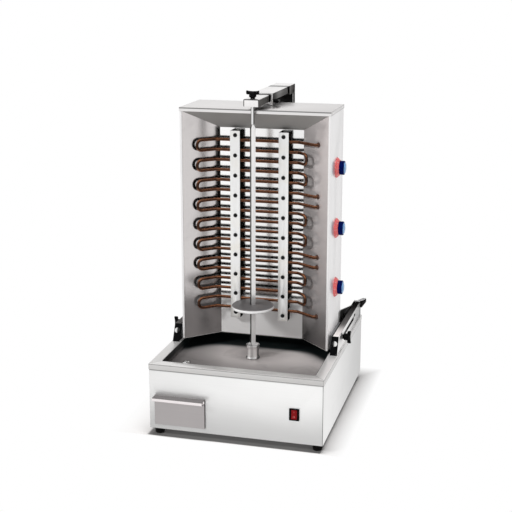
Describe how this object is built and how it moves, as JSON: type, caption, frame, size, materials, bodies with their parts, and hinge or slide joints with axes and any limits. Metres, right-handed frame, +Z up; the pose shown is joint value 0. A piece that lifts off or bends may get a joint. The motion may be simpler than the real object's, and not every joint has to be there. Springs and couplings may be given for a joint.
{
  "type": "doner kebab grill",
  "caption": "Electric vertical doner grill: bent tube heaters in a sliding reflector housing, a turning spit held by a rear arm, a drip pan and a fat drawer.",
  "frame": {"origin": "floor under the middle of the whole object's bounding box", "axes": "+Z up along the spit, -Y towards the cook, +X to the cook's right"},
  "size_m": [0.4886, 0.583, 0.8663],
  "materials": {
    "stainless": "brushed",
    "reflector_steel": "bright",
    "pan_steel": "bright",
    "spit_steel": "bright",
    "heater_sheath": "matte, heat stained",
    "black_plastic": "satin",
    "black_screw": "black oxide",
    "blue_plastic": "gloss",
    "red_plastic": "satin",
    "red_lens": "gloss",
    "foot_rubber": "matte",
    "motor_paint": "satin",
    "bush_bronze": "machined",
    "white_ceramic": "matte",
    "grey_nylon": "matte"
  },
  "bodies": {
    "base": {"base_front_panel": "stainless", "base_side_panels": "stainless", "base_rear_panel": "stainless", "base_floor": "stainless", "top_rim": "stainless", "drip_pan": "pan_steel", "drain_spout": "pan_steel", "rubber_feet": "foot_rubber", "left_rail": "stainless", "right_rail": "stainless", "rail_front_caps": "black_plastic", "rail_rear_caps": "black_plastic", "gear_motor": "motor_paint", "motor_bracket": "stainless", "shaft_bush": "bush_bronze", "drawer_runners": "stainless", "switch_body": "black_plastic", "terminal_block": "white_ceramic", "cable_gland": "black_plastic", "arm_post": "stainless", "arm_head": "stainless", "arm_sleeve": "stainless", "arm_collar": "stainless", "inner_arm": "stainless"},
    "drawer": {"drawer_tray": "stainless", "drawer_front": "stainless"},
    "rocker": {"switch_rocker": "red_lens"},
    "spit": {"drive_shaft": "spit_steel", "drive_cup": "spit_steel", "spit_bar": "spit_steel", "meat_disc": "spit_steel", "disc_pin": "spit_steel"},
    "locking_pin": {"top_pin": "spit_steel", "top_pin_knob": "black_plastic"},
    "heater_housing": {"housing_left_panel": "stainless", "housing_right_panel": "stainless", "housing_rear_panel": "stainless", "housing_floor": "stainless", "top_cover": "stainless", "back_reflector": "reflector_steel", "left_reflector": "reflector_steel", "right_reflector": "reflector_steel", "top_reflector": "reflector_steel", "heater_upper": "heater_sheath", "heater_middle": "heater_sheath", "heater_lower": "heater_sheath", "heater_bushings": "heater_sheath", "left_guard_bar": "stainless", "right_guard_bar": "stainless", "guard_screws": "black_screw", "knob_dials": "red_plastic", "heat_regulators": "white_ceramic", "slide_shoes": "grey_nylon", "housing_stays": "stainless"},
    "upper_heat_knob": {"knob_upper": "blue_plastic"},
    "middle_heat_knob": {"knob_middle": "blue_plastic"},
    "lower_heat_knob": {"knob_lower": "blue_plastic"},
    "left_wing_screw": {"left_rail_knob": "black_plastic"},
    "right_wing_screw": {"right_rail_knob": "black_plastic"},
    "arm_wing_screw": {"arm_lock_knob": "black_plastic"}
  },
  "joints": [
    {"name": "drawer_slide", "type": "slide", "parent": "base", "child": "drawer", "axis": [0, -1, 0], "range_m": [0, 0.15]},
    {"name": "switch_rock", "type": "hinge", "parent": "base", "child": "rocker", "pos_m": [0.152, -0.2635, 0.0955], "axis": [1, 0, 0], "range_deg": [0, 14]},
    {"name": "spit_spin", "type": "hinge", "parent": "base", "child": "spit", "pos_m": [0, -0.0935, 0.169], "axis": [0, 0, 1], "continuous": true},
    {"name": "top_pin_lift", "type": "slide", "parent": "base", "child": "locking_pin", "axis": [0, 0, 1], "range_m": [0, 0.03]},
    {"name": "housing_slide", "type": "slide", "parent": "base", "child": "heater_housing", "axis": [0, 1, 0], "range_m": [0, 0.13]},
    {"name": "upper_knob_turn", "type": "hinge", "parent": "heater_housing", "child": "upper_heat_knob", "pos_m": [0.196, 0.0065, 0.66418], "axis": [1, 0, 0], "range_deg": [0, 270]},
    {"name": "middle_knob_turn", "type": "hinge", "parent": "heater_housing", "child": "middle_heat_knob", "pos_m": [0.196, 0.0065, 0.50555], "axis": [1, 0, 0], "range_deg": [0, 270]},
    {"name": "lower_knob_turn", "type": "hinge", "parent": "heater_housing", "child": "lower_heat_knob", "pos_m": [0.196, 0.0065, 0.34692], "axis": [1, 0, 0], "range_deg": [0, 270]},
    {"name": "left_wing_turn", "type": "hinge", "parent": "heater_housing", "child": "left_wing_screw", "pos_m": [-0.222, -0.0107, 0.218], "axis": [1, 0, 0], "range_deg": [-180, 180]},
    {"name": "right_wing_turn", "type": "hinge", "parent": "heater_housing", "child": "right_wing_screw", "pos_m": [0.222, -0.0107, 0.218], "axis": [1, 0, 0], "range_deg": [-180, 180]},
    {"name": "arm_wing_turn", "type": "hinge", "parent": "base", "child": "arm_wing_screw", "pos_m": [0.027, 0.0065, 0.83], "axis": [1, 0, 0], "range_deg": [-180, 180]}
  ]
}
